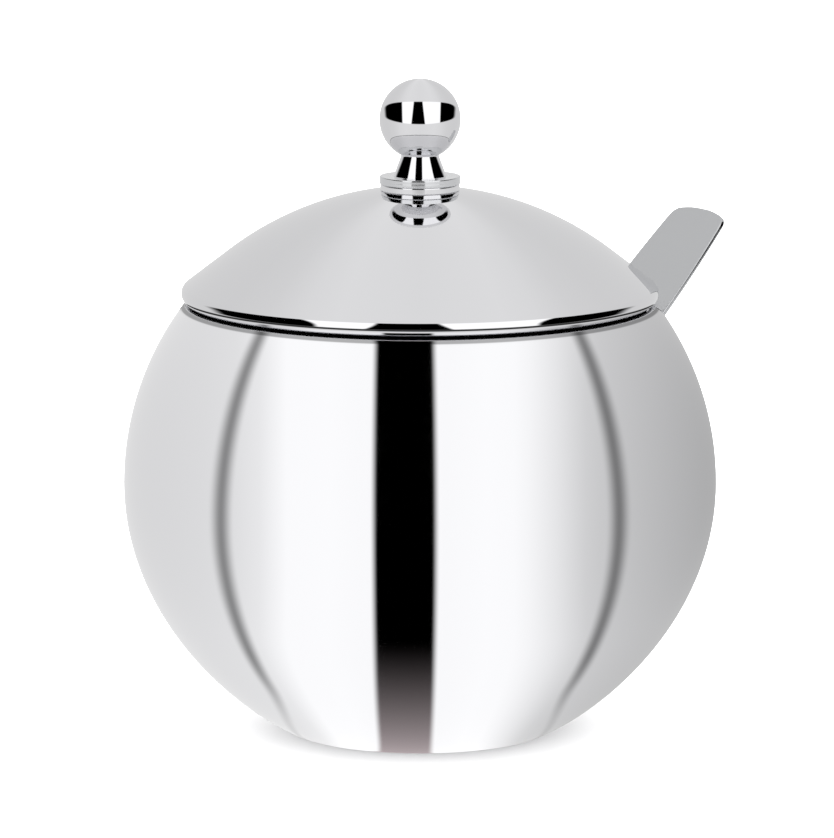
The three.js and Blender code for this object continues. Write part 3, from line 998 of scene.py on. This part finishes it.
def make_bowl_tent(studio, lit):
    """Two wide soft panels with a black strip between them, and grey seams at the sides."""
    cloth = tent("bowl_tent", studio.tent_radius)
    made, tree, glow = tent_material("white_cloth_with_black_strip")
    cloth.data.materials.append(made)
    side, _, height, turn = mirror_slope(tree, studio)

    # Where the mirror faces down, the panels' tones are squeezed together more and more.
    low = add_node(tree, MATH, {0: SQUEEZE_BELOW, 1: height}, operation="SUBTRACT")
    low = add_node(tree, MATH, {0: low, 1: 0}, operation="MAXIMUM")
    low_squared = add_node(tree, MATH, {0: low, 1: low}, operation="MULTIPLY")
    squeeze = add_node(tree, MATH, {0: low_squared, 1: 3.3, 2: 1}, operation="MULTIPLY_ADD")
    spread = add_node(tree, MATH, {0: side, 1: squeeze}, operation="MULTIPLY")
    position = add_node(tree, RANGE, {"Value": spread, "From Min": -1, "From Max": 1})
    panels = add_node(tree, "ShaderNodeValToRGB", {"Fac": position})
    set_ramp(panels, PANEL_TONES)

    # The two seams run down the cloth, bend outward at the foot and fade there.
    deep = add_node(tree, MATH, {0: -0.65, 1: height}, operation="SUBTRACT")
    deep = add_node(tree, MATH, {0: deep, 1: 0}, operation="MAXIMUM")
    deep_squared = add_node(tree, MATH, {0: deep, 1: deep}, operation="MULTIPLY")
    sockets = {0: deep_squared, 1: 4, 2: SEAM_TURN}
    seam_at = add_node(tree, MATH, sockets, operation="MULTIPLY_ADD")
    turned_by = add_node(tree, MATH, {0: turn}, operation="ABSOLUTE")
    to_seam = add_node(tree, MATH, {0: turned_by, 1: seam_at}, operation="SUBTRACT")
    to_seam = add_node(tree, MATH, {0: to_seam}, operation="ABSOLUTE")
    sockets = {"Value": to_seam, "From Max": SEAM_HALF, "To Min": 1, "To Max": 0}
    seam = add_node(tree, RANGE, sockets, interpolation_type="SMOOTHSTEP")
    sockets = {"Value": height, "From Min": -0.82, "From Max": -0.52, "To Min": 0.15, "To Max": 0.665}
    seam_depth = add_node(tree, RANGE, sockets, interpolation_type="SMOOTHSTEP")
    seam = add_node(tree, MATH, {0: seam, 1: seam_depth}, operation="MULTIPLY")
    seamed = add_node(tree, MATH, {0: 1, 1: seam}, operation="SUBTRACT")
    cloth_level = add_node(tree, MATH, {0: panels, 1: seamed}, operation="MULTIPLY")

    # The panels end softly above, in the part that the bowl mirrors just below its rim.
    sockets = {"Value": height, "From Min": 0.6, "From Max": 0.614, "To Min": 1, "To Max": 0.45}
    top_end = add_node(tree, RANGE, sockets, interpolation_type="SMOOTHSTEP")
    cloth_level = add_node(tree, MATH, {0: cloth_level, 1: top_end}, operation="MULTIPLY")

    # The black strip narrows towards the top and the foot, and fades to a warm grey at the foot.
    height_squared = add_node(tree, MATH, {0: height, 1: height}, operation="MULTIPLY")
    to_strip = add_node(tree, MATH, {0: side, 1: -STRIP_SIDE}, operation="ADD")
    to_strip = add_node(tree, MATH, {0: to_strip}, operation="ABSOLUTE")
    sockets = {0: height_squared, 1: 0.02, 2: to_strip}
    to_strip = add_node(tree, MATH, sockets, operation="MULTIPLY_ADD")
    sockets = {"Value": to_strip, "From Min": STRIP_HALF, "From Max": STRIP_HALF + STRIP_EDGE}
    strip = add_node(tree, RANGE, sockets, interpolation_type="SMOOTHSTEP")
    fade = add_node(tree, MATH, {0: low_squared, 1: 1.65}, operation="MULTIPLY")
    warm = add_node(tree, VECTOR_MATH, {0: WARM_GREY, "Scale": fade}, operation="SCALE")
    shade = add_node(tree, "ShaderNodeMix", {"Factor": strip}, data_type="RGBA")
    tree.links.new(warm.outputs["Vector"], shade.inputs["A"])
    tree.links.new(cloth_level.outputs["Value"], shade.inputs["B"])
    tree.links.new(shade.outputs["Result"], glow.inputs["Color"])
    glow.inputs["Strength"].default_value = TENT_STRENGTH
    shine_only_on(cloth, "lit_by_bowl_tent", lit)


def make_board_tent(studio, name, railed, lit):
    """Pale cloth with a band of upright boards: black, white, black, white and black.

    With railed, the boards stand lower, on a dark rail."""
    cloth = tent(name, studio.tent_radius * (1.1 if railed else 1.2))
    made, tree, glow = tent_material(name + "_cloth")
    cloth.data.materials.append(made)
    side, rise, _, turn = mirror_slope(tree, studio)

    # The band is a rounded shape. Round the knob it curves up and thins at its two ends.
    middle_at, upturn, half_at, thinning = (0.03, 0, 0.3, 0) if railed else (0.13, 0.08, 0.275, -0.07)
    reach = add_node(tree, MATH, {0: side, 1: BAND_REACH}, operation="DIVIDE")
    reach_squared = add_node(tree, MATH, {0: reach, 1: reach}, operation="MULTIPLY")
    sockets = {0: reach_squared, 1: upturn, 2: middle_at}
    middle = add_node(tree, MATH, sockets, operation="MULTIPLY_ADD")
    sockets = {0: reach_squared, 1: thinning, 2: half_at}
    half_height = add_node(tree, MATH, sockets, operation="MULTIPLY_ADD")
    half_height = add_node(tree, MATH, {0: half_height, 1: 0.05}, operation="MAXIMUM")
    off = add_node(tree, MATH, {0: rise, 1: middle}, operation="SUBTRACT")
    off = add_node(tree, MATH, {0: off, 1: half_height}, operation="DIVIDE")
    off = add_node(tree, MATH, {0: off}, operation="ABSOLUTE")
    off = add_node(tree, MATH, {0: off, 1: 6}, operation="POWER")
    out = add_node(tree, MATH, {0: reach}, operation="ABSOLUTE")
    out = add_node(tree, MATH, {0: out, 1: 5}, operation="POWER")
    edge = add_node(tree, MATH, {0: off, 1: out}, operation="ADD")
    sockets = {"Value": edge, "From Min": 0.8, "From Max": 1.2, "To Min": 1, "To Max": 0}
    band = add_node(tree, RANGE, sockets, interpolation_type="SMOOTHSTEP")
    if railed:
        # Second reflections leave the boards out, so the knob mirrors a plain lid.
        depth = add_node(tree, "ShaderNodeLightPath").outputs["Glossy Depth"]
        seen_first = add_node(tree, MATH, {0: depth, 1: 1.5}, operation="LESS_THAN")
        band = add_node(tree, MATH, {0: band, 1: seen_first}, operation="MULTIPLY")

    # The outer boards begin a little further out on the right than on the left.
    to_outer = add_node(tree, MATH, {0: side, 1: 0.03}, operation="SUBTRACT")
    to_outer = add_node(tree, MATH, {0: to_outer}, operation="ABSOLUTE")
    sockets = {"Value": to_outer, "From Min": 0.445, "From Max": 0.475, "To Min": 1, "To Max": 0}
    outer = add_node(tree, RANGE, sockets, interpolation_type="SMOOTHSTEP")
    # The middle board stands a little to the left and is wider at its foot.
    half_width = add_node(tree, MATH, {0: rise, 1: -0.12, 2: 0.152}, operation="MULTIPLY_ADD")
    to_inner = add_node(tree, MATH, {0: side, 1: 0.045}, operation="ADD")
    to_inner = add_node(tree, MATH, {0: to_inner}, operation="ABSOLUTE")
    to_inner = add_node(tree, MATH, {0: to_inner, 1: half_width}, operation="SUBTRACT")
    sockets = {"Value": to_inner, "From Min": -0.012, "From Max": 0.012}
    inner = add_node(tree, RANGE, sockets, interpolation_type="SMOOTHSTEP")
    boards = add_node(tree, MATH, {0: outer, 1: inner}, operation="MULTIPLY")

    position = add_node(tree, MATH, {0: turn}, operation="ABSOLUTE")
    cloth_level = add_node(tree, "ShaderNodeValToRGB", {"Fac": position})
    set_ramp(cloth_level, PALE_TONES)
    if railed:
        to_rail = add_node(tree, MATH, {0: rise, 1: 0.35}, operation="ADD")
        to_rail = add_node(tree, MATH, {0: to_rail}, operation="ABSOLUTE")
        sockets = {"Value": to_rail, "From Min": 0.06, "From Max": 0.13, "To Min": 0.05}
        rail = add_node(tree, RANGE, sockets, interpolation_type="SMOOTHSTEP")
        cloth_level = add_node(tree, MATH, {0: cloth_level, 1: rail}, operation="MULTIPLY")
        boards = add_node(tree, MATH, {0: boards, 1: rail}, operation="MULTIPLY")
    shade = add_node(tree, "ShaderNodeMix", {"Factor": band}, data_type="RGBA")
    tree.links.new(cloth_level.outputs[0], shade.inputs["A"])
    tree.links.new(boards.outputs["Value"], shade.inputs["B"])
    tree.links.new(shade.outputs["Result"], glow.inputs["Color"])
    glow.inputs["Strength"].default_value = TENT_STRENGTH
    shine_only_on(cloth, "lit_by_" + name, lit)


def make_camera(scene, studio):
    """A long lens in front of the notch's left, looking slightly down."""
    toward, right = toward_camera(studio)
    camera = bpy.data.objects.new("camera", bpy.data.cameras.new("camera"))
    scene.collection.objects.link(camera)
    middle = Vector((0, 0, 40 * MM))
    up = right.cross(-toward)
    camera.location = middle + toward * studio.distance
    aim = middle + up * AIM_ABOVE - right * AIM_LEFT
    camera.rotation_euler = (aim - camera.location).to_track_quat("-Z", "Y").to_euler()
    camera.data.sensor_width = 36
    camera.data.lens = studio.focal
    camera.data.clip_start = 0.05
    camera.data.clip_end = 50
    scene.camera = camera


class SUGARBOWL_PT_panel(bpy.types.Panel):
    """Lists the pieces and the studio"""

    bl_label = "Sugar Bowl"
    bl_idname = "SUGARBOWL_PT_panel"
    bl_space_type = "VIEW_3D"
    bl_region_type = "UI"
    bl_category = "Sugar Bowl"

    def draw(self, context):
        for operator in OPERATORS:
            self.layout.operator(operator.bl_idname)


GROUPS = {
    "bowl_sizes": BowlSizes,
    "lid_sizes": LidSizes,
    "knob_sizes": KnobSizes,
    "spoon_sizes": SpoonSizes,
    "steel_colours": SteelColours,
    "studio_settings": StudioSettings,
}
OPERATORS = (
    SUGARBOWL_OT_bowl,
    SUGARBOWL_OT_lid,
    SUGARBOWL_OT_knob,
    SUGARBOWL_OT_fixings,
    SUGARBOWL_OT_spoon,
    SUGARBOWL_OT_studio,
)


def register():
    for name, group in GROUPS.items():
        bpy.utils.register_class(group)
        setattr(bpy.types.Scene, name, PointerProperty(type=group))
    for operator in OPERATORS:
        bpy.utils.register_class(operator)
    bpy.utils.register_class(SUGARBOWL_PT_panel)


def unregister():
    bpy.utils.unregister_class(SUGARBOWL_PT_panel)
    for operator in reversed(OPERATORS):
        bpy.utils.unregister_class(operator)
    for name, group in GROUPS.items():
        delattr(bpy.types.Scene, name)
        bpy.utils.unregister_class(group)


def main():
    register()
    for operator in OPERATORS:
        category, name = operator.bl_idname.split(".")
        getattr(getattr(bpy.ops, category), name)()


if __name__ == "__main__":
    main()
